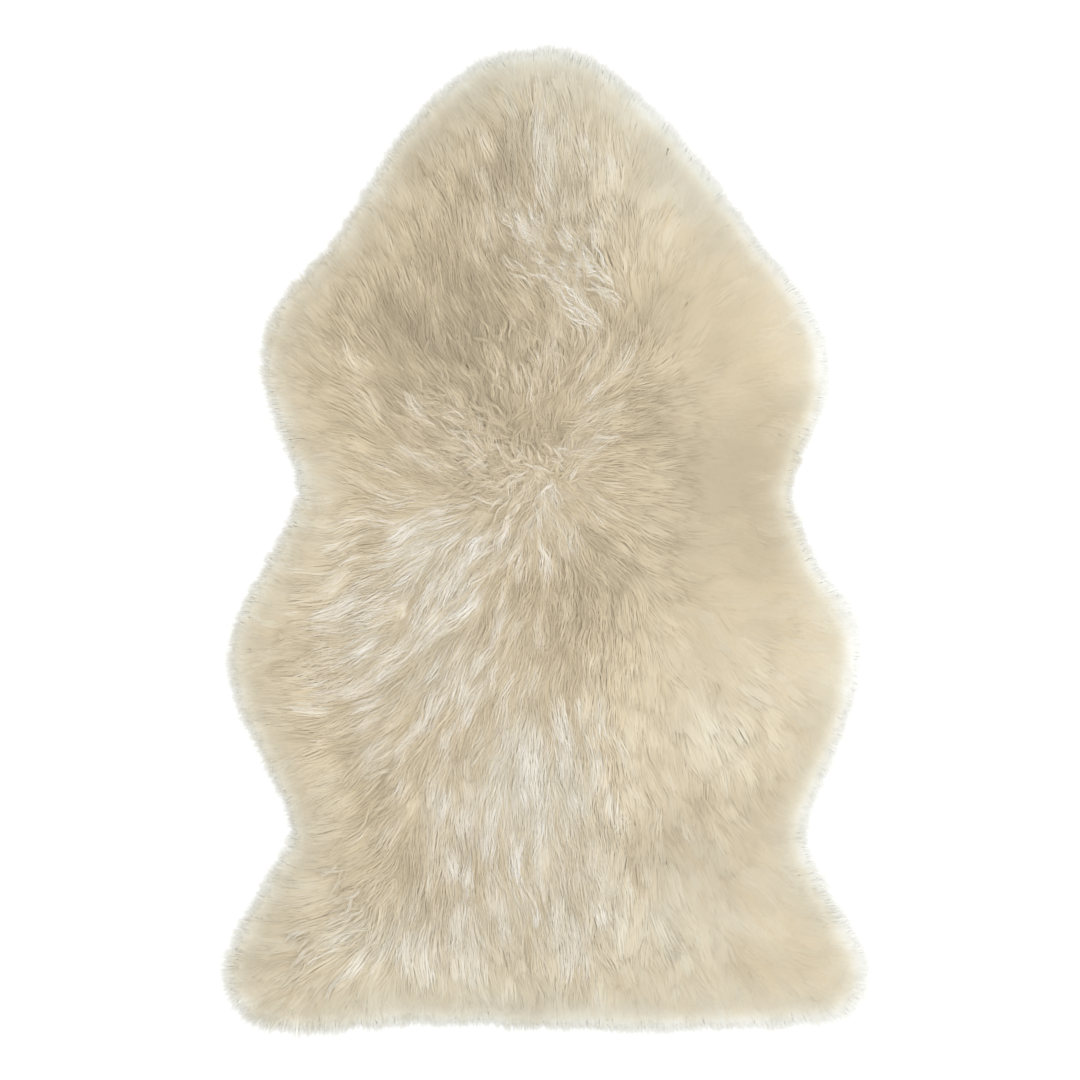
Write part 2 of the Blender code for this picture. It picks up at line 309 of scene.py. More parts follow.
class Pelt:
    """Grids over the rug: the wool's height, the way in from the hide's edge, the combing, the tint."""

    def __init__(self, fleece, hide):
        self.low = Vector((CAD_LOW.x - GRID_BORDER, CAD_LOW.y - GRID_BORDER))
        self.columns = math.ceil((CAD_HIGH.x + GRID_BORDER - self.low.x) / GRID_PITCH)
        self.rows = math.ceil((CAD_HIGH.y + GRID_BORDER - self.low.y) / GRID_PITCH)
        self.x, self.y = np.meshgrid(
            self.low.x + np.arange(self.columns) * GRID_PITCH,
            self.low.y + np.arange(self.rows) * GRID_PITCH,
        )
        height = np.nan_to_num(self.tops(fleece))
        self.inward = softened(self.way_in(~np.isnan(self.tops(hide))), 6)
        self.height = softened(height, 10) * smooth_step(self.inward, -44 * MM, -28 * MM)
        rise_y, rise_x = np.gradient(softened(self.height, 4), GRID_PITCH)
        self.slope = np.clip((rise_x, rise_y), -STEEPEST, STEEPEST)
        inward_y, inward_x = np.gradient(softened(self.inward, 8), GRID_PITCH)
        steep = np.hypot(inward_x, inward_y) + 1e-6
        self.out = np.array([softened(-part / steep, 40) for part in (inward_x, inward_y)])
        self.comb()
        brushed = smooth_step(self.x, SILK_START, SILK_FULL)
        self.tint = self.table_sum(PATCHES, "tint") + 0.10 * self.lumps(46 * MM, 2.0)
        # Painted light: the wool grows paler towards the rim, and more at the brushed side's rim, to lift
        # the shade that falls there
        self.tint += RIM_PAINTED_LIGHT * smooth_step(-self.inward, 12 * MM, 46 * MM)
        self.tint += SILKY_RIM_PAINTED_LIGHT * brushed * smooth_step(-self.inward, 6 * MM, 36 * MM)
        self.ash = ASH + 0.4 * self.table_sum(PATCHES, "ash") + 0.06 * self.lumps(38 * MM, 3.0)
        self.ash += RIM_ASH * np.clip((30 * MM - self.inward) / (70 * MM), 0, 1) ** 2
        self.crimp = np.clip(self.table_sum(CRIMPED, "amount"), 0, 1)
        # Painted sheen: streaks along the combing, stronger where the locks shine
        self.streaks = self.drawn_out(self.lumps(STREAK_WIDTH, 8.0)) * (1 + self.table_sum(SHINES, "gain"))
        brushed = np.clip(brushed * (1 + self.table_sum(SILKY, "gain")), 0, 1)
        self.silk = 1 - (1 - brushed) * (1 - SILK_AT_RIM * (1 - smooth_step(self.inward, 0, SILK_RIM)))
        self.crispness = 1 + self.table_sum(CRISP, "gain")
        self.fan = sum(np.gradient(self.out[part], GRID_PITCH, axis=1 - part) for part in (1, 0))

    def straight_out(self, x, y):
        """The direction straight out of the wool's surface."""
        slope_x, slope_y = self.at(self.slope, x, y)
        return unit(np.stack((-slope_x, -slope_y, np.ones(slope_x.shape)), axis=-1))

    def tops(self, node):
        """The height of a node's upper face over each cell, or NaN beside the node."""
        corners = [vert.co for vert in node.data.vertices]
        tree = BVHTree.FromPolygons(corners, [face.vertices[:] for face in node.data.polygons])
        tops = []
        for x, y in zip(self.x.ravel(), self.y.ravel()):
            found = tree.ray_cast(Vector((x, y, 1)), DOWN)[0]
            tops.append(np.nan if found is None else found.z)
        return np.array(tops).reshape(self.x.shape)

    def way_in(self, covered):
        """The distance of each cell from the hide's edge, below 0 outside it."""
        edge = covered & ~np.all(beside_cells(np.pad(covered, 1)), axis=0)
        edge_x, edge_y = self.x[edge], self.y[edge]
        away = np.empty(self.x.shape)
        for row in range(self.rows):
            dx = self.x[row][:, None] - edge_x
            dy = self.y[row][:, None] - edge_y
            away[row] = np.sqrt((dx * dx + dy * dy).min(axis=1))
        return np.where(covered, away, -away)

    def lumps(self, size, layer):
        """Smooth noise over the grid, from about -1 to 1, whose lumps are about size apart."""
        cells = zip(self.x.ravel() / size, self.y.ravel() / size)
        values = [noise.noise(Vector((x, y, layer))) for x, y in cells]
        return np.array(values).reshape(self.x.shape)

    def table_sum(self, rows, column):
        """The sum of a table's round spots over the grid."""
        total = np.zeros(self.x.shape)
        for row in rows:
            apart = np.hypot(self.x - row.x_mm * MM, self.y - row.y_mm * MM)
            total += getattr(row, column) * np.exp(-((apart / (row.reach_mm * MM)) ** 2))
        return total

    def comb(self):
        """The direction in which the wool lies: away from the whorl, along the strokes, out at the rim."""
        away_x, away_y = self.x - WHORL_X, self.y - WHORL_Y
        away = np.hypot(away_x, away_y) + 1e-6
        near_whorl = np.exp(-((away / WHORL_REACH) ** 2))
        pull = 0.05 + 1.2 * near_whorl
        along_x, along_y = pull * away_x / away, pull * away_y / away
        for row in COMBING:
            for x_mm, heading_deg in row.strokes:
                apart = np.hypot(self.x - x_mm * MM, self.y - row.y_mm * MM)
                weight = np.exp(-((apart / STROKE_REACH) ** 2)) * (1 - near_whorl)
                heading = math.radians(heading_deg)
                along_x += weight * math.cos(heading)
                along_y += weight * math.sin(heading)
        length = np.hypot(along_x, along_y) + 1e-6
        outwards = TURN_MOST * (1 - smooth_step(self.inward, TURN_FULL, TURN_START))
        along_x = (1 - outwards) * along_x / length + outwards * self.out[0]
        along_y = (1 - outwards) * along_y / length + outwards * self.out[1]
        turn = 0.36 * self.lumps(34 * MM, 4.0) + 0.24 * self.lumps(15 * MM, 6.0)
        length = np.hypot(along_x, along_y) + 1e-6
        self.along = np.array(turned(along_x / length, along_y / length, turn))

    def drawn_out(self, grain):
        """Noise drawn out along the combing into streaks, with a spread of 1."""
        total = grain.copy()
        for step in (-GRID_PITCH, GRID_PITCH):
            x, y = self.x, self.y
            for _ in range(round(STREAK_REACH / GRID_PITCH)):
                step_x, step_y = self.at(self.along, x, y)
                x, y = x + step * step_x, y + step * step_y
                total += self.at(grain, x, y)
        return (total - total.mean()) / total.std()

    def at(self, grid, x, y):
        """The values of a grid, or of a pair of grids, at places, read between the cells."""
        column = np.clip((x - self.low.x) / GRID_PITCH, 0, self.columns - 1.001)
        row = np.clip((y - self.low.y) / GRID_PITCH, 0, self.rows - 1.001)
        i, j = np.int64(row), np.int64(column)
        v, u = row - i, column - j
        lower = grid[..., i, j] * (1 - u) + grid[..., i, j + 1] * u
        upper = grid[..., i + 1, j] * (1 - u) + grid[..., i + 1, j + 1] * u
        return lower * (1 - v) + upper * v


@functools.cache
def surveyed_pelt():
    """The pelt's grids, worked out once."""
    return Pelt(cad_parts["fleece"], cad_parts["hide"])


def combed_path(pelt, x, y, length, swerve, steps):
    """Places along the combing from each root. Arrays of a row for each strand, steps + 1 wide."""
    path_x, path_y = [x], [y]
    for _ in range(steps):
        step_x, step_y = turned(*pelt.at(pelt.along, x, y), swerve)
        x, y = x + step_x * length / steps, y + step_y * length / steps
        path_x.append(x)
        path_y.append(y)
    return np.stack(path_x, axis=1), np.stack(path_y, axis=1)


def tuft_roots(pelt, pitch, chance, nearest=-1 * MM, farthest=1):
    """The middles of tufts, on a shaken triangular grid, between two distances in from the hide's edge."""
    rows = np.arange(pelt.low.y, CAD_HIGH.y + GRID_BORDER, pitch * math.sqrt(3) / 2)
    columns = np.arange(pelt.low.x, CAD_HIGH.x + GRID_BORDER, pitch)
    x, y = np.meshgrid(columns, rows)
    x = x + (np.arange(len(rows)) % 2)[:, None] * pitch / 2
    x = x.ravel() + chance.uniform(-0.42, 0.42, x.size) * pitch
    y = y.ravel() + chance.uniform(-0.42, 0.42, y.size) * pitch
    inward = pelt.at(pelt.inward, x, y)
    grown = (inward > nearest) & (inward < farthest)
    return x[grown], y[grown]


def arc_path(x, y, heading, turn, length, steps):
    """Places along an arc from each root. Arrays of a row for each strand, steps + 1 wide."""
    middles = (np.arange(steps) + 0.5) / steps
    angle = heading[:, None] + turn[:, None] * middles
    stretch = length[:, None] / steps
    start = np.zeros((x.size, 1))
    way_x = np.hstack((start, np.cumsum(np.cos(angle) * stretch, axis=1)))
    way_y = np.hstack((start, np.cumsum(np.sin(angle) * stretch, axis=1)))
    return x[:, None] + way_x, y[:, None] + way_y


# How a kind of tuft grows: strands in it, straight stretches in a strand, a strand's width and how much
# wider the brushed ones are, the tuft's radius, how far its strands gather to a point, its share of the
# crimp, how far it lies over the rest, how far the tint goes up and down from strand to strand, how much
# painted shade deepens the tuft's edges and painted highlight pales its middle, and the least and the
# most of the rim's reach where strands end
Growth = namedtuple(
    "Growth", "strands steps width widening radius gather crimp lift mottle edge_tint ends"
)

# The locks that the combed wool lies in, an array of one value a lock in each column
LockRoots = namedtuple("LockRoots", "x y swerve lift tint")

# What tufts are like, an array of one value a tuft in each column
Tufts = namedtuple("Tufts", "x y radius length gather swing phase lift rise tint ash contrast rough")

# Strands, a row for each: points, widths, tints and ash along it, how far its normals lean, its roughness
Strands = namedtuple("Strands", "points width tint ash lean rough")


def usual_growth(wool):
    """Straight strands, as wide and as mottled as most."""
    return Growth(
        strands=1, steps=5, width=wool.strand_width, widening=0, radius=0, gather=0, crimp=0, lift=0,
        mottle=wool.strand_mottle, edge_tint=wool.edge_tint, ends=(wool.rim_shortest, 1.05),
    )


def rooted(tufts, growth, chance):
    """The tuft that each strand belongs to, and the places of its root."""
    of = np.repeat(np.arange(tufts.x.size), growth.strands)
    spread = tufts.radius[of] * np.sqrt(chance.uniform(0, 1, of.size))
    around = chance.uniform(0, 2 * math.pi, of.size)
    return of, tufts.x[of] + spread * np.cos(around), tufts.y[of] + spread * np.sin(around)


@functools.cache
def lock_roots(pitch):
    """The locks that the combed wool lies in, the same for all its pieces."""
    chance = np.random.default_rng(10)
    x, y = tuft_roots(surveyed_pelt(), pitch, chance, -40 * MM)
    return LockRoots(x, y, *np.clip(chance.normal(0, 1, (3, x.size)), -1.4, 1.4))


def grow_wool(pelt, wool, x, y, growth, chance):
    """The strands of tufts that follow the combing, drawn together into locks."""
    count = x.size
    locks = lock_roots(wool.lock_pitch)
    lock = np.hypot(x[:, None] - locks.x, y[:, None] - locks.y).argmin(axis=1)
    inward = pelt.at(pelt.inward, x, y)
    inside = smooth_step(inward, -8 * MM, 34 * MM)
    rough = 1 - wool.silk_smoothing * pelt.at(pelt.silk, x, y)
    crimp = pelt.at(pelt.crimp, x, y)
    length = wool.strand_length * (1 - CRIMP_SHORTENING * crimp) * chance.uniform(0.75, 1.25, count)
    length = length + (wool.rim_length - length) * (1 - inside)
    swirl = np.exp(-((np.hypot(x - WHORL_X, y - WHORL_Y) / SWIRL_REACH) ** 2))
    swerve = chance.normal(0, 1, count) * (0.05 + 0.08 * inside * rough + 0.15 * crimp + 0.6 * swirl)
    swerve = swerve + wool.lock_swerve * locks.swerve[lock] * inside

    cores = np.array(combed_path(pelt, x, y, length, swerve, growth.steps))
    lock_swerves = wool.lock_swerve * locks.swerve
    lock_cores = combed_path(pelt, locks.x, locks.y, wool.strand_length, lock_swerves, growth.steps)
    apart = np.array(lock_cores)[:, lock] - cores
    drawn = wool.lock_gather * inside * (0.3 + 0.7 * rough) * (1 - swirl) * (1 - 0.5 * crimp)
    shifts = apart * drawn[:, None] * np.linspace(0, 1, growth.steps + 1) ** 1.4
    ways_along = np.gradient(cores, axis=2)
    paces = np.hypot(*ways_along) + 1e-9
    beside = np.abs(apart[0] * ways_along[1] - apart[1] * ways_along[0]) / paces
    beside = np.minimum(beside.mean(axis=1) / (0.6 * wool.lock_pitch), 1) ** 2

    tufts = Tufts(
        x=x,
        y=y,
        radius=np.full(count, growth.radius),
        length=length,
        gather=growth.gather * chance.uniform(0.2, 1, count) * inside,
        swing=growth.crimp * crimp + wool.stray_wave * rough,
        phase=chance.uniform(0, 2 * math.pi, count),
        lift=growth.lift + rough * (
            chance.normal(0, wool.tuft_unevenness, count) * (1 + crimp)
            + wool.lock_lift * (locks.lift[lock] - beside)
        ),
        rise=1 + wool.crimp_rise * crimp,
        # Painted shade: brushed wool is deepened, and each lock's edges are deepened and its middle paled so
        # that it reads as round
        tint=0.5 - wool.silk_painted_shade * (1 - rough) + chance.uniform(-0.07, 0.07, count) * rough
        + (0.3 + 0.7 * rough) * (wool.lock_tint * locks.tint[lock] + wool.lock_edge_painted_shade * (0.4 - beside)),
        ash=chance.normal(0, 0.06, count),
        contrast=pelt.at(pelt.crispness, x, y),
        rough=rough,
    )
    of, root_x, root_y = rooted(tufts, growth, chance)
    along, out = pelt.at(pelt.along, root_x, root_y), pelt.at(pelt.out, root_x, root_y)
    straightness = np.clip((along * out).sum(axis=0), 0.6, 1)
    room = (pelt.at(pelt.inward, root_x, root_y) + wool.rim_reach) / straightness
    reach = tufts.length[of] * chance.uniform(0.78, 1.12, of.size)
    reach = np.minimum(reach, room * chance.uniform(*growth.ends, of.size))
    swerves = swerve[of] + chance.normal(0, 0.05 + 0.08 * rough[of])
    ways = np.array(combed_path(pelt, root_x, root_y, reach, swerves, growth.steps)) + shifts[:, of]
    cores = cores + shifts
    return bundled(pelt, wool, growth, tufts, of, ways, cores, chance)


def grow_locks(pelt, wool, groups, growth, chance):
    """The strands of locks that stand out, each along an arc of its own."""
    rows = [group for group in groups for _ in range(group.locks)]
    count = len(rows)
    row = {name: np.array([getattr(each, name) for each in rows], float) for name in LOCK_COLUMNS.split()}
    way = chance.uniform(0, 1, count)
    off_x, off_y = chance.uniform(-1, 1, (2, count)) * row["aside_mm"]
    x = (row["x_mm"] + (row["to_x_mm"] - row["x_mm"]) * way + off_x) * MM
    y = (row["y_mm"] + (row["to_y_mm"] - row["y_mm"]) * way + off_y) * MM
    heading = np.radians(row["heading_deg"] + chance.normal(0, 1, count) * row["sway_deg"])
    turn = np.radians(row["turn_deg"]) * chance.uniform(0.7, 1.3, count)
    tufts = Tufts(
        x=x,
        y=y,
        radius=row["radius_mm"] * MM * chance.uniform(0.7, 1.3, count),
        length=row["length_mm"] * MM * chance.uniform(0.75, 1.25, count),
        gather=growth.gather * chance.uniform(0.3, 1, count),
        swing=row["crimp"] * growth.crimp * chance.uniform(0.7, 1.2, count),
        phase=chance.normal(0, 0.8, count),
        lift=growth.lift * chance.uniform(0.2, 1.2, count),
        rise=np.ones(count),
        tint=0.5 + row["tint"] + chance.normal(0, 0.05, count) * row["contrast"],
        ash=0.3 * row["tint"] + chance.normal(0, 0.06, count),
        contrast=row["contrast"],
        rough=np.ones(count),
    )
    of, root_x, root_y = rooted(tufts, growth, chance)
    headings = heading[of] + chance.normal(0, 0.06, of.size)
    reach = tufts.length[of] * chance.uniform(0.75, 1.1, of.size)
    ways = arc_path(root_x, root_y, headings, turn[of], reach, growth.steps)
    cores = arc_path(x, y, heading, turn, tufts.length, growth.steps)
    return bundled(pelt, wool, growth, tufts, of, ways, cores, chance)


def bundled(pelt, wool, growth, tufts, of, ways, cores, chance):
    """Strands along their ways, gathered towards their tuft's core, crimped, and laid on the wool."""
    x, y = ways
    core_x, core_y = cores
    share = np.linspace(0, 1, growth.steps + 1)
    pull = tufts.gather[of, None] * share**1.4
    x = x + (core_x[of] - x) * pull
    y = y + (core_y[of] - y) * pull

    core_along_x, core_along_y = np.gradient(core_x, axis=1), np.gradient(core_y, axis=1)
    pace = np.hypot(core_along_x, core_along_y) + 1e-9
    side_x, side_y = (-core_along_y / pace)[of], (core_along_x / pace)[of]
    aside = (x - core_x[of]) * side_x + (y - core_y[of]) * side_y
    aside = np.clip(aside / tufts.radius[of, None], -1, 1)

    rough = tufts.rough[of]
    waves = tufts.length[of] / wool.crimp_pitch
    phase = tufts.phase[of] + chance.normal(0, 0.35, of.size)
    swing = tufts.swing[of] * wool.crimp_height * chance.uniform(0.7, 1.3, of.size)
    wave = np.sin(2 * math.pi * share * waves[:, None] + phase[:, None]) * np.minimum(3 * share, 1)
    x, y = x + side_x * wave * swing[:, None], y + side_y * wave * swing[:, None]

    top = pelt.at(pelt.height, x, y)
    fullness = np.clip(top / (30 * MM), 0.12, 1)
    crown = wool.tuft_crown * (1 - aside**2) * np.sin(math.pi * share)
    shingle = wool.shingle_lift * share - wool.shingle_depth * (1 - share) ** 1.5
    fine = chance.uniform(0, 1, of.size) < wool.fine_share
    lift = tufts.lift[of] + (chance.normal(0, wool.strand_unevenness, of.size) + 0.5 * MM * fine) * rough
    rise = (rough * tufts.rise[of])[:, None]
    z = top + fullness * ((crown + shingle) * rise + lift[:, None])
    z = np.maximum(z, (0.6 + 2.0 * chance.uniform(0, 1, (of.size, 1))) * MM)

    full_width = growth.width * chance.uniform(0.7, 1.3, of.size) * (1 - 0.4 * fine)
    full_width = full_width * (1 + growth.widening * (1 - rough))
    width = full_width[:, None] * (1 - 0.75 * share**2.5)
    contrast = rough * tufts.contrast[of]
    tint = tufts.tint[of] + chance.normal(0, growth.mottle, of.size) * contrast
    tint = tint + wool.fine_tint * fine * rough
    # Painted sheen: each tuft paler or deeper by the streaks along its core
    streak = pelt.at(pelt.streaks, core_x, core_y).mean(axis=1)[of]
    tint = tint + wool.sheen_streak_tint * streak * (0.3 + 0.7 * rough)
    # Painted shade: deeper towards the root, more so where the wool rises; the pelt's tint brings its
    # painted light at the rim
    tint = tint[:, None] + pelt.at(pelt.tint, x, y) - wool.root_painted_shade * rise * (1 - share) ** 2
    # Painted shade at the tuft's edges and painted highlight in its middle
    tint = tint + growth.edge_tint * contrast[:, None] * (0.3 - aside**2)
    ash = pelt.at(pelt.ash, x, y) + tufts.ash[of, None] + wool.pale_ash * (tint - 0.6)
    lean = wool.tuft_roundness * rough[:, None] * aside
    return Strands(
        points=np.stack((x, y, z), axis=2),
        width=width,
        tint=np.clip(tint, 0.01, 0.99),
        ash=np.clip(ash, 0.01, 0.99),
        lean=np.stack((lean * side_x, lean * side_y), axis=2),
        rough=rough,
    )


def along_edges(values):
    """Values of each strand's rings, given to the corners of its ribbon: two a ring, and one at the tip."""
    return np.concatenate((np.repeat(values[:, :-1], 2, axis=1), values[:, -1:]), axis=1)


def ribbon_mesh(name, pelt, wool, strands, chance):
    """One mesh of flat strands that narrow to a point. Its UV map holds the strands' tint and ash."""
    points = strands.points
    count, rings = points.shape[:2]
    along = unit(np.gradient(points, axis=1))
    across = unit(np.cross(along, pelt.straight_out(points[..., 0], points[..., 1])))
    upward = np.cross(across, along)
    roll = chance.normal(0, 0.4, (count, 1, 1)) * strands.rough[:, None, None]
    side = across * np.cos(roll) + upward * np.sin(roll)
    half = strands.width[..., None] / 2
    left, right = points - side * half, points + side * half

    pairs = np.stack((left[:, :-1], right[:, :-1]), axis=2).reshape(count, -1, 3)
    corners = np.concatenate((pairs, points[:, -1:]), axis=1)
    each = corners.shape[1]
    start = np.arange(count)[:, None, None] * each
    ring = np.arange(rings - 2)[None, :, None] * 2
    quads = (start + ring + np.array((0, 1, 3, 2))).reshape(count, -1)
    tips = (start[:, :, 0] + np.array((each - 3, each - 2, each - 1))).reshape(count, -1)
    loops = np.concatenate((quads, tips), axis=1).ravel()
    sizes = np.tile(np.array([4] * (rings - 2) + [3]), count)

    mesh = bpy.data.meshes.new(name)
    mesh.vertices.add(count * each)
    mesh.vertices.foreach_set("co", corners.ravel())
    mesh.loops.add(loops.size)
    mesh.loops.foreach_set("vertex_index", loops)
    mesh.polygons.add(sizes.size)
    mesh.polygons.foreach_set("loop_start", np.cumsum(sizes) - sizes)
    mesh.update(calc_edges=True)
    mesh.polygons.foreach_set("use_smooth", np.ones(sizes.size, bool))

    uv = np.stack((along_edges(strands.tint).ravel(), along_edges(strands.ash).ravel()), axis=1)
    layer = mesh.uv_layers.new(name="OFBake")
    layer.data.foreach_set("uv", uv[loops].ravel())

    lie = pelt.straight_out(corners[..., 0], corners[..., 1])
    lie[..., :2] += along_edges(strands.lean)
    bank = np.stack((-side, side), axis=2)[:, :-1].reshape(count, -1, 3)
    bank = np.concatenate((bank, np.zeros((count, 1, 3))), axis=1)
    rough = strands.rough[:, None, None]
    own = wool.strand_relief * rough
    normals = (1 - own) * unit(lie) + own * along_edges(upward) + wool.strand_roundness * rough * bank
    mesh.normals_split_custom_set_from_vertices(unit(normals).reshape(-1, 3))

    item = bpy.data.objects.new(name, mesh)
    bpy.context.scene.collection.objects.link(item)
    return item


def wool_piece(name, wool, x, y, growth, chance):
    """One mesh of the tufts that grow at these places."""
    pelt = surveyed_pelt()
    return ribbon_mesh(name, pelt, wool, grow_wool(pelt, wool, x, y, growth, chance), chance)


def set_values(node, values):
    """Sets a node's sockets by their names."""
    for name, value in values.items():
        node.inputs[name].default_value = value


def new_material(name, values):
    """A material, its node tree, and its Principled shader with some values set."""
    material = bpy.data.materials.new(name)
    material.use_nodes = True
    shader = material.node_tree.nodes["Principled BSDF"]
    set_values(shader, values)
    return material, material.node_tree, shader


def noise_pattern(tree, scale, detail):
    """Noise that stays where it is on the piece."""
    place = tree.nodes.new("ShaderNodeTexCoord")
    pattern = tree.nodes.new("ShaderNodeTexNoise")
    set_values(pattern, {"Scale": scale, "Detail": detail})
    tree.links.new(place.outputs["Object"], pattern.inputs["Vector"])
    return pattern.outputs["Fac"]


def tone_ramp(tree, colour, wool):
    """A colour ramp from a deepened to a lightened tone of a colour, with the colour itself halfway."""
    ramp = tree.nodes.new("ShaderNodeValToRGB")
    deep, pale = ramp.color_ramp.elements
    deep.color = (*(wool.deepening * part for part in colour), 1)
    pale.color = (*(part + wool.lightening * (1 - part) for part in colour), 1)
    middle = ramp.color_ramp.elements.new(0.5)
    middle.color = (*colour, 1)
    return ramp


def read_tones(tree, name):
    """The tint and the ash that a UV map holds."""
    place = tree.nodes.new("ShaderNodeUVMap")
    place.uv_map = name
    parts = tree.nodes.new("ShaderNodeSeparateXYZ")
    tree.links.new(place.outputs["UV"], parts.inputs[0])
    return parts.outputs["X"], parts.outputs["Y"]


def mix_tones(tree, wool, tint, ash):
    """The colour of wool of a tint, between a warm tone and an ashen one."""
    mixed = tree.nodes.new("ShaderNodeMix")
    mixed.data_type = "RGBA"
    tree.links.new(ash, mixed.inputs["Factor"])
    for side, colour in (("A", wool.warm_colour), ("B", wool.ash_colour)):
        ramp = tone_ramp(tree, colour, wool)
        tree.links.new(tint, ramp.inputs[0])
        tree.links.new(ramp.outputs["Color"], mixed.inputs[side])
    return mixed.outputs["Result"]


def wool_finish(wool):
    """Wool whose tone goes by the strand's own tint, deeper at its root, and by how ashen it is."""
    values = {"Roughness": 0.55, "Specular IOR Level": 0.3, "Sheen Weight": 0.2, "Sheen Roughness": 0.4}
    material, tree, shader = new_material("combed_wool", values)
    tint, ash = read_tones(tree, "OFBake")
    tree.links.new(mix_tones(tree, wool, tint, ash), shader.inputs["Base Color"])
    return material


def underwool_finish(wool):
    """Matted wool with the tones of the strands that lie on it, and a mottle of its own."""
    material, tree, shader = new_material("matted_underwool", {"Roughness": 0.9})
    tint, ash = read_tones(tree, "tones")
    mottled = tree.nodes.new("ShaderNodeMath")
    mottled.operation = "MULTIPLY_ADD"
    mottled.inputs[1].default_value = wool.underwool_mottle
    tree.links.new(noise_pattern(tree, 420, 4), mottled.inputs[0])
    tree.links.new(tint, mottled.inputs[2])
    tree.links.new(mix_tones(tree, wool, mottled.outputs[0], ash), shader.inputs["Base Color"])
    return material


def hide_finish(hide):
    """Brushed suede: a fine nap with broad, faint clouds."""
    material, tree, shader = new_material("tanned_suede", {"Roughness": 0.9})
    clouds = tree.nodes.new("ShaderNodeValToRGB")
    low, high = clouds.color_ramp.elements
    low.position, low.color = 0.35, (*hide.shade_colour, 1)
    high.position, high.color = 0.65, (*hide.colour, 1)
    tree.links.new(noise_pattern(tree, 14, 6), clouds.inputs[0])
    tree.links.new(clouds.outputs["Color"], shader.inputs["Base Color"])
    nap = tree.nodes.new("ShaderNodeBump")
    set_values(nap, {"Strength": 0.3, "Distance": 0.0003})
    tree.links.new(noise_pattern(tree, 1800, 2), nap.inputs["Height"])
    tree.links.new(nap.outputs["Normal"], shader.inputs["Normal"])
    return material


def floor_finish(colour):
    """A plain pale floor."""
    values = {"Base Color": (*colour, 1), "Roughness": 0.8, "Specular IOR Level": 0.1}
    return new_material("pale_floor", values)[0]


def backdrop_finish():
    """A white studio wall that is lit evenly."""
    values = {"Base Color": (0, 0, 0, 1), "Specular IOR Level": 0}
    values.update({"Emission Color": (1, 1, 1, 1), "Emission Strength": 1.05})
    return new_material("studio_wall", values)[0]


def finish_wool(pieces, wool):
    """Gives pieces of wool their finish, and puts them in the place of the plain fleece."""
    finish = bpy.data.materials.get("combed_wool") or wool_finish(wool)
    for piece in pieces:
        piece.data.materials.append(finish)
        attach(piece, "root")
        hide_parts("fleece")


def number(name, description, default, **kind):
    """A number in the settings. The four below make a whole number, a length, a share and a colour."""
    return FloatProperty(name=name, description=description, default=default, **kind)


def whole_number(name, description, default):
    return IntProperty(name=name, description=description, default=default)


def distance(name, description, default):
    return number(name, description, default, unit="LENGTH")


def portion(name, description, default):
    return number(name, description, default, subtype="FACTOR")


def colour_of(name, description, default):
    return FloatVectorProperty(
        name=name, description=description, default=default, subtype="COLOR", min=0, max=1
    )


class HideSettings(bpy.types.PropertyGroup):
    """The tanned skin."""

    colour: colour_of("Colour", "Colour of the suede", (0.66, 0.56, 0.42))
    shade_colour: colour_of("Shade", "Colour of the suede's clouds", (0.56, 0.46, 0.33))


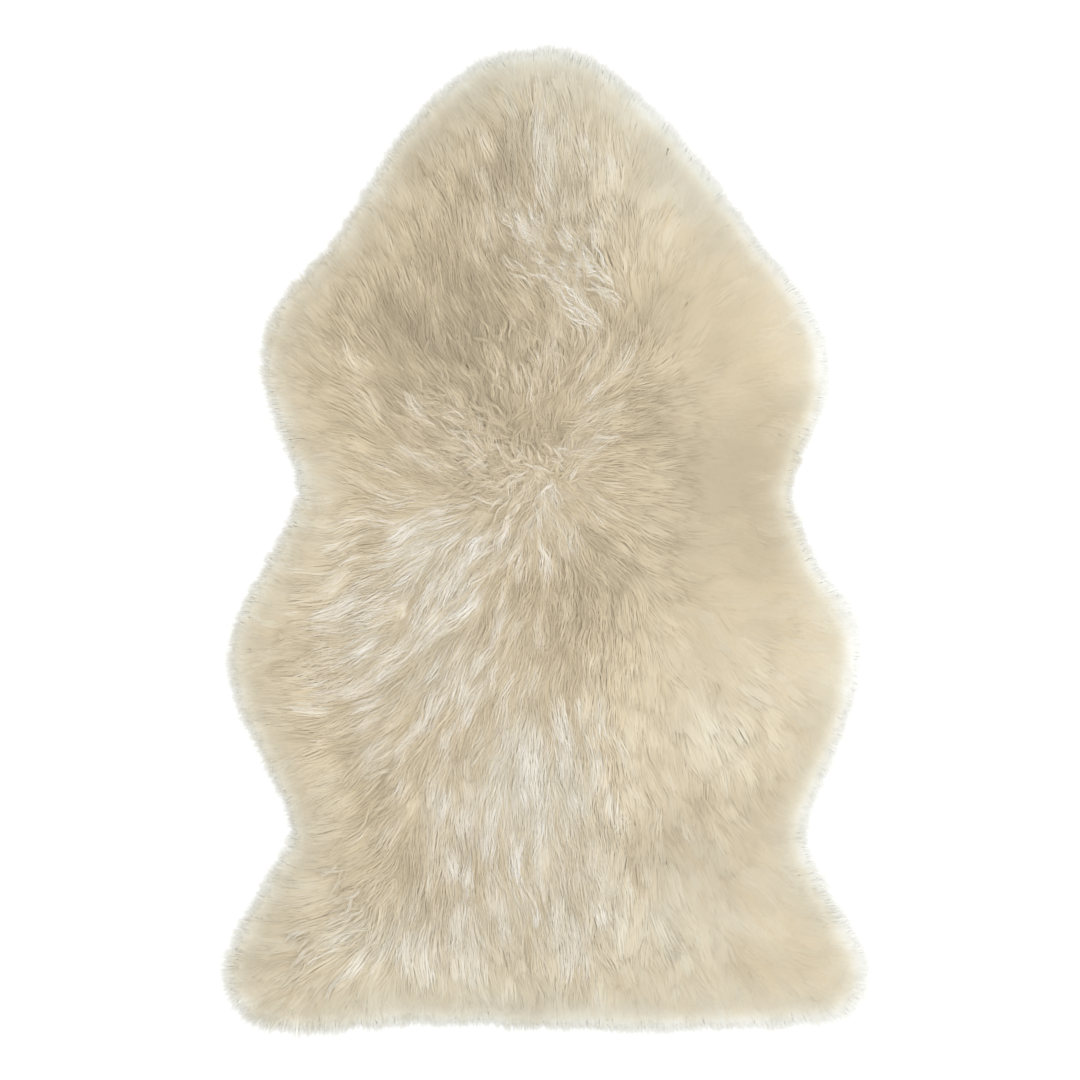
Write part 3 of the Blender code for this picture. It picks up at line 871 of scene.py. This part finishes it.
class WoolSettings(bpy.types.PropertyGroup):
    """The combed wool and the matted wool under it."""

    strand_length: distance("Strand length", "Length of a strand that shows, well inside the rim", 40 * MM)
    rim_length: distance("Rim length", "Length of a strand that grows near the hide's edge", 50 * MM)
    strand_width: distance("Strand width", "Width of a strand of wool at its root", 0.62 * MM)
    tuft_pitch: distance("Tuft pitch", "From one tuft to the next", 9.5 * MM)
    strand_count: whole_number("Strands", "Combed strands in the five pieces from neck to tail", 68000)
    curl_count: whole_number("Crimped strands", "Strands with crimp, over the patches that keep it", 4500)
    rim_count: whole_number("Rim strands", "Strands from the hide's edge down to the floor", 8000)
    fringe_pitch: distance("Fringe pitch", "From one fine strand of the rim's fringe to the next", 2.1 * MM)
    lock_strands: whole_number("Strands in a lock", "Strands of a lock that stands out", 12)
    rim_reach: distance("Rim reach", "How far past the hide's edge the wool reaches", 39 * MM)
    underwool_depth: distance(
        "Underwool depth", "How far the matted wool lies under the wool's top", 1.5 * MM
    )
    underwool_reach: distance("Underwool reach", "How far the matted wool reaches past the hide", 33 * MM)
    shingle_depth: distance("Root depth", "How far a strand's root lies under the wool's top", 2.8 * MM)
    shingle_lift: distance("Tip lift", "How far the tips lie over the top of the wool", 2.5 * MM)
    tuft_crown: distance("Tuft crown", "How far the middle of a tuft stands over its sides", 1.5 * MM)
    crimp_pitch: distance("Crimp pitch", "From one wave of the crimp to the next", 23 * MM)
    crimp_height: distance("Crimp height", "How far a fully crimped strand swings to each side", 1.9 * MM)
    crimp_rise: number("Crimp rise", "How much more crimped wool rises from its root to its tip", 0.8)
    stray_wave: portion("Stray wave", "Share of the crimp that combed wool keeps", 0.25)
    tuft_gather: portion("Tuft gather", "How far a tuft's strands come together at its tip", 0.45)
    lock_pitch: distance("Lock pitch", "From one lock of combed wool to the next", 21 * MM)
    lock_gather: portion("Lock gather", "How far a lock's tufts come together at its tip", 0.5)
    lock_swerve: number("Lock swerve", "How far a lock turns from the combing", 0.12, subtype="ANGLE")
    lock_lift: distance("Lock lift", "How far locks lie over or under one another", 0.8 * MM)
    lock_tint: number("Lock tint", "How far the tint goes up and down from lock to lock", 0.07)
    # Painted shade and highlight: a lock's edges are deepened and its middle paled, so that it reads as
    # round
    lock_edge_painted_shade: number("Lock edge", "How much deeper a lock's edges are than its middle", 0.14)
    tuft_unevenness: distance("Tuft unevenness", "How far tufts lie over or under one another", 0.4 * MM)
    strand_unevenness: distance(
        "Strand unevenness", "How far strands lie over or under their tuft", 0.3 * MM
    )
    tuft_roundness: portion("Tuft roundness", "How far a tuft shades as a round lock", 0.35)
    strand_roundness: portion("Strand roundness", "How far a strand shades as a round one", 0.1)
    strand_relief: portion("Strand relief", "Share of a strand's own lie in its shading", 0.16)
    silk_smoothing: portion("Silk smoothing", "How much smoother the brushed wool lies", 0.93)
    silk_widening: number("Silk widening", "How much wider brushed strands are, which lie in flat locks", 3)
    rim_shortest: portion("Shortest rim strand", "Share of the rim reach that the shortest strand has", 0.6)
    strand_mottle: number("Strand mottle", "How far the tint goes up and down from strand to strand", 0.052)
    fine_share: portion("Fine strands", "Share of the strands that are finer, and lie over the rest", 0.2)
    fine_tint: number("Fine tint", "How much paler the fine strands are", 0.10)
    # Painted shade: brushed wool is deepened for the shade between strands that its smooth, flat lie lacks
    silk_painted_shade: number("Silk tint", "How much deeper the brushed wool is", 0.30)
    # Painted shade and highlight: a tuft's edges are deepened and its middle paled, so that it reads as
    # round
    edge_tint: number("Edge tint", "How much deeper a tuft's edges are than its middle", 0.08)
    # Painted sheen: the tint goes up and down in streaks along the combing, as the locks' shine does
    sheen_streak_tint: number("Streaks", "How far the tint goes up and down in streaks along the combing", 0.09)
    # Painted shade: a strand's root is deepened where it lies down among the other strands
    root_painted_shade: number("Root tint", "How much deeper a strand's root is than its tip", 0.15)
    warm_colour: colour_of("Warm colour", "Colour of the warmest wool", (0.69, 0.58, 0.398))
    ash_colour: colour_of("Ash colour", "Colour of the greyest wool", (0.66, 0.66, 0.575))
    pale_ash: number("Ash of pale wool", "How much greyer wool is the paler it is", 0.6)
    underwool_tint: number("Underwool tint", "Tint of the matted wool under wool of a middle tint", 0.40)
    underwool_mottle: number("Underwool mottle", "How far the matted wool's tint goes up and down", 0.20)
    deepening: portion("Deepening", "Brightness of the deepest tint, as a share of the colour", 0.66)
    lightening: portion("Lightening", "How far the palest tint goes from the colour to white", 0.7)


class StageSettings(bpy.types.PropertyGroup):
    """The floor, the light and the camera."""

    floor_colour: colour_of("Floor", "Colour of the floor", (0.93, 0.93, 0.93))
    view_width: distance("View width", "Width of the picture at the height of the wool", 1.010)
    lens: number("Lens", "Focal length of the camera, in millimetres", 100)
    sky: number("Studio light", "Strength of the light from all round", 0.82)
    softness: number("Softness", "Width of the film's filter, in pixels", 1.6)
    key: number("Key light", "Power of the large lamp over the neck end", 30, unit="POWER")


class RUG_OT_hide(bpy.types.Operator):
    """Finish the tanned hide"""

    bl_idname = "rug.hide"
    bl_label = "Hide"

    def execute(self, context):
        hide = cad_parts["hide"]
        hide.data.materials.clear()
        hide.data.materials.append(hide_finish(context.scene.rug_hide))
        return {"FINISHED"}


class RUG_OT_underwool(bpy.types.Operator):
    """Lay the matted wool over the hide"""

    bl_idname = "rug.underwool"
    bl_label = "Underwool"

    def execute(self, context):
        wool = context.scene.rug_wool
        clear_selection()
        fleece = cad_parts["fleece"]
        body = fleece.copy()
        body.data = fleece.data.copy()
        body.name = body.data.name = "underwool"
        for key in list(body.keys()):
            del body[key]
        body.parent = None
        context.scene.collection.objects.link(body)
        context.view_layer.objects.active = body
        body.select_set(True)
        bpy.ops.object.mode_set(mode="EDIT")
        bpy.ops.mesh.select_all(action="SELECT")
        bpy.ops.mesh.remove_doubles(threshold=0.01 * MM)
        bpy.ops.object.mode_set(mode="OBJECT")
        pelt = surveyed_pelt()
        tones = []
        for vert in body.data.vertices:
            x, y = vert.co.x, vert.co.y
            # The matted wool takes the pelt's tint, and with it the painted light that pales the rim
            tones.append((wool.underwool_tint + pelt.at(pelt.tint, x, y), pelt.at(pelt.ash, x, y)))
            spare = max(0, -pelt.at(pelt.inward, x, y) - wool.underwool_reach)
            out_x, out_y = pelt.at(pelt.out, x, y)
            vert.co.x -= 0.8 * spare * out_x
            vert.co.y -= 0.8 * spare * out_y
            top = pelt.at(pelt.height, x, y)
            if vert.co.z > 3 * MM:
                lower = max(0, 1 - wool.underwool_depth / max(top, 3 * MM))
                vert.co.z = min(vert.co.z * lower, max(top - wool.underwool_depth, 1 * MM))
        bpy.ops.object.shade_smooth()
        layer = body.data.uv_layers.new(name="tones")
        for loop in body.data.loops:
            layer.uv[loop.index].vector = tones[loop.vertex_index]
        body.data.materials.clear()
        body.data.materials.append(underwool_finish(wool))
        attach(body, "root")
        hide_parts("fleece")
        return {"FINISHED"}


class RUG_OT_wool(bpy.types.Operator):
    """Grow the combed wool in tufts"""

    bl_idname = "rug.wool"
    bl_label = "Combed wool"

    def execute(self, context):
        wool = context.scene.rug_wool
        chance = np.random.default_rng(11)
        pelt = surveyed_pelt()
        x, y = tuft_roots(pelt, wool.tuft_pitch, chance)
        crimp = pelt.at(pelt.crimp, x, y)  # where it fades, crimped tufts and combed ones mix
        curly = crimp > chance.uniform(0.15, 0.8, x.size)
        curls = usual_growth(wool)._replace(
            strands=wool.curl_count // curly.sum(),
            steps=14, radius=0.5 * wool.tuft_pitch, gather=0.6, crimp=1, lift=0.5 * MM,
        )
        made = [wool_piece("wool_crimped", wool, x[curly], y[curly], curls, chance)]

        kept = np.flatnonzero(crimp < chance.uniform(0.3, 1.3, x.size))
        order = kept[np.argsort(-y[kept])]
        combed = usual_growth(wool)._replace(
            strands=wool.strand_count // kept.size,
            widening=wool.silk_widening, radius=0.8 * wool.tuft_pitch, gather=wool.tuft_gather, crimp=0.3,
        )
        for name, part in zip(WOOL_PIECES, np.array_split(order, len(WOOL_PIECES))):
            made.append(wool_piece(name, wool, x[part], y[part], combed, chance))
        finish_wool(made, wool)
        return {"FINISHED"}


class RUG_OT_rim(bpy.types.Operator):
    """Grow the wool that falls over the hide's edge"""

    bl_idname = "rug.rim"
    bl_label = "Rim"

    def execute(self, context):
        wool = context.scene.rug_wool
        chance = np.random.default_rng(12)
        pelt = surveyed_pelt()
        x, y = tuft_roots(pelt, 2.4 * MM, chance, -6 * MM, 5 * MM)
        # The further the rim's strands fan out, the more tufts are kept
        spread = 1 + pelt.at(pelt.fan, x, y) * wool.rim_reach
        kept = spread / 3 > chance.uniform(0, 1, x.size)
        rim = usual_growth(wool)._replace(
            strands=max(1, wool.rim_count // kept.sum()), steps=4, widening=1, radius=4 * MM
        )
        made = [wool_piece("wool_rim", wool, x[kept], y[kept], rim, chance)]

        x, y = tuft_roots(pelt, wool.fringe_pitch, chance, -28 * MM, -10 * MM)
        fringe = rim._replace(
            strands=1, steps=3, width=0.7 * wool.strand_width, widening=1.2, radius=1 * MM, ends=(0.45, 1.25)
        )
        made.append(wool_piece("wool_fringe", wool, x, y, fringe, chance))
        finish_wool(made, wool)
        return {"FINISHED"}


class RUG_OT_locks(bpy.types.Operator):
    """Lay the locks that stand out from the combed wool"""

    bl_idname = "rug.locks"
    bl_label = "Locks"

    def execute(self, context):
        wool = context.scene.rug_wool
        chance = np.random.default_rng(13)
        pelt = surveyed_pelt()
        waved = [group for group in LOCKS if group.crimp >= CRIMPED_FROM]
        plain = [group for group in LOCKS if group.crimp < CRIMPED_FROM]
        made = []
        for name, groups, steps in (("locks_crimped", waved, 20), ("locks_combed", plain, 8)):
            # The locks' mottle, and their painted edge shade and middle highlight, are stronger than the
            # tufts'
            growth = usual_growth(wool)._replace(
                strands=wool.lock_strands, steps=steps, gather=0.6, crimp=1, lift=1.6 * MM,
                mottle=4.2 * wool.strand_mottle, edge_tint=6.5 * wool.edge_tint,
            )
            grown = grow_locks(pelt, wool, groups, growth, chance)
            made.append(ribbon_mesh(name, pelt, wool, grown, chance))
        finish_wool(made, wool)
        return {"FINISHED"}


class RUG_OT_stage(bpy.types.Operator):
    """Set the floor, the light and the camera"""

    bl_idname = "rug.stage"
    bl_label = "Stage"

    def execute(self, context):
        stage = context.scene.rug_stage
        clear_selection()
        bpy.ops.mesh.primitive_plane_add(size=12, location=(0, 0, -0.0005))
        floor = context.active_object
        floor.name = floor.data.name = "floor"
        floor.data.materials.append(floor_finish(stage.floor_colour))
        bpy.ops.mesh.primitive_cylinder_add(
            vertices=96, radius=5.6, depth=2.6, end_fill_type="NOTHING", location=(0, 0, 1.3)
        )
        backdrop = context.active_object
        backdrop.name = backdrop.data.name = "backdrop"
        bpy.ops.object.mode_set(mode="EDIT")
        bpy.ops.mesh.select_all(action="SELECT")
        bpy.ops.mesh.flip_normals()
        bpy.ops.object.mode_set(mode="OBJECT")
        backdrop.data.materials.append(backdrop_finish())

        world = bpy.data.worlds.new("studio")
        context.scene.world = world
        world.use_nodes = True
        sky = world.node_tree.nodes["Background"]
        sky.inputs["Color"].default_value = (1.0, 1.0, 1.0, 1)
        sky.inputs["Strength"].default_value = stage.sky

        bpy.ops.object.light_add(type="AREA", location=(0.45, -0.1, 2.5))
        lamp = context.active_object
        lamp.name = "key_light"
        lamp.data.shape = "DISK"
        lamp.data.size = 1.6
        lamp.data.energy = stage.key
        lamp.rotation_euler = (-lamp.location).to_track_quat("-Z", "Y").to_euler()

        wool_top, view_middle, sensor = 0.01, -0.0078, 36
        reach = stage.view_width * stage.lens / sensor
        bpy.ops.object.camera_add(location=(view_middle, 0, wool_top + reach), rotation=(0, 0, 0))
        camera = context.active_object
        camera.data.lens = stage.lens
        camera.data.sensor_width = sensor
        context.scene.camera = camera
        context.scene.view_settings.view_transform = "Standard"
        context.scene.cycles.diffuse_bounces = 8
        context.scene.cycles.filter_width = stage.softness
        return {"FINISHED"}


class RUG_PT_panel(bpy.types.Panel):
    """The rug's pieces and stage"""

    bl_idname = "RUG_PT_panel"
    bl_label = "Sheepskin rug"
    bl_space_type = "VIEW_3D"
    bl_region_type = "UI"
    bl_category = "Rug"

    def draw(self, context):
        for group, operators in PANEL_ROWS:
            settings = getattr(context.scene, group)
            box = self.layout.box()
            for name in settings.__annotations__:
                box.prop(settings, name)
            for operator in operators:
                box.operator(operator)


PANEL_ROWS = (
    ("rug_hide", ("rug.hide",)),
    ("rug_wool", ("rug.underwool", "rug.wool", "rug.rim", "rug.locks")),
    ("rug_stage", ("rug.stage",)),
)
SETTINGS = {"rug_hide": HideSettings, "rug_wool": WoolSettings, "rug_stage": StageSettings}
OPERATORS = (RUG_OT_hide, RUG_OT_underwool, RUG_OT_wool, RUG_OT_rim, RUG_OT_locks, RUG_OT_stage)
CLASSES = (*SETTINGS.values(), *OPERATORS, RUG_PT_panel)


def register():
    for each in CLASSES:
        bpy.utils.register_class(each)
    for name, group in SETTINGS.items():
        setattr(bpy.types.Scene, name, PointerProperty(type=group))


def unregister():
    for name in SETTINGS:
        delattr(bpy.types.Scene, name)
    for each in reversed(CLASSES):
        bpy.utils.unregister_class(each)


def main():
    register()
    bpy.ops.rug.hide()
    bpy.ops.rug.underwool()
    bpy.ops.rug.wool()
    bpy.ops.rug.rim()
    bpy.ops.rug.locks()
    bpy.ops.rug.stage()


if __name__ == "__main__":
    main()
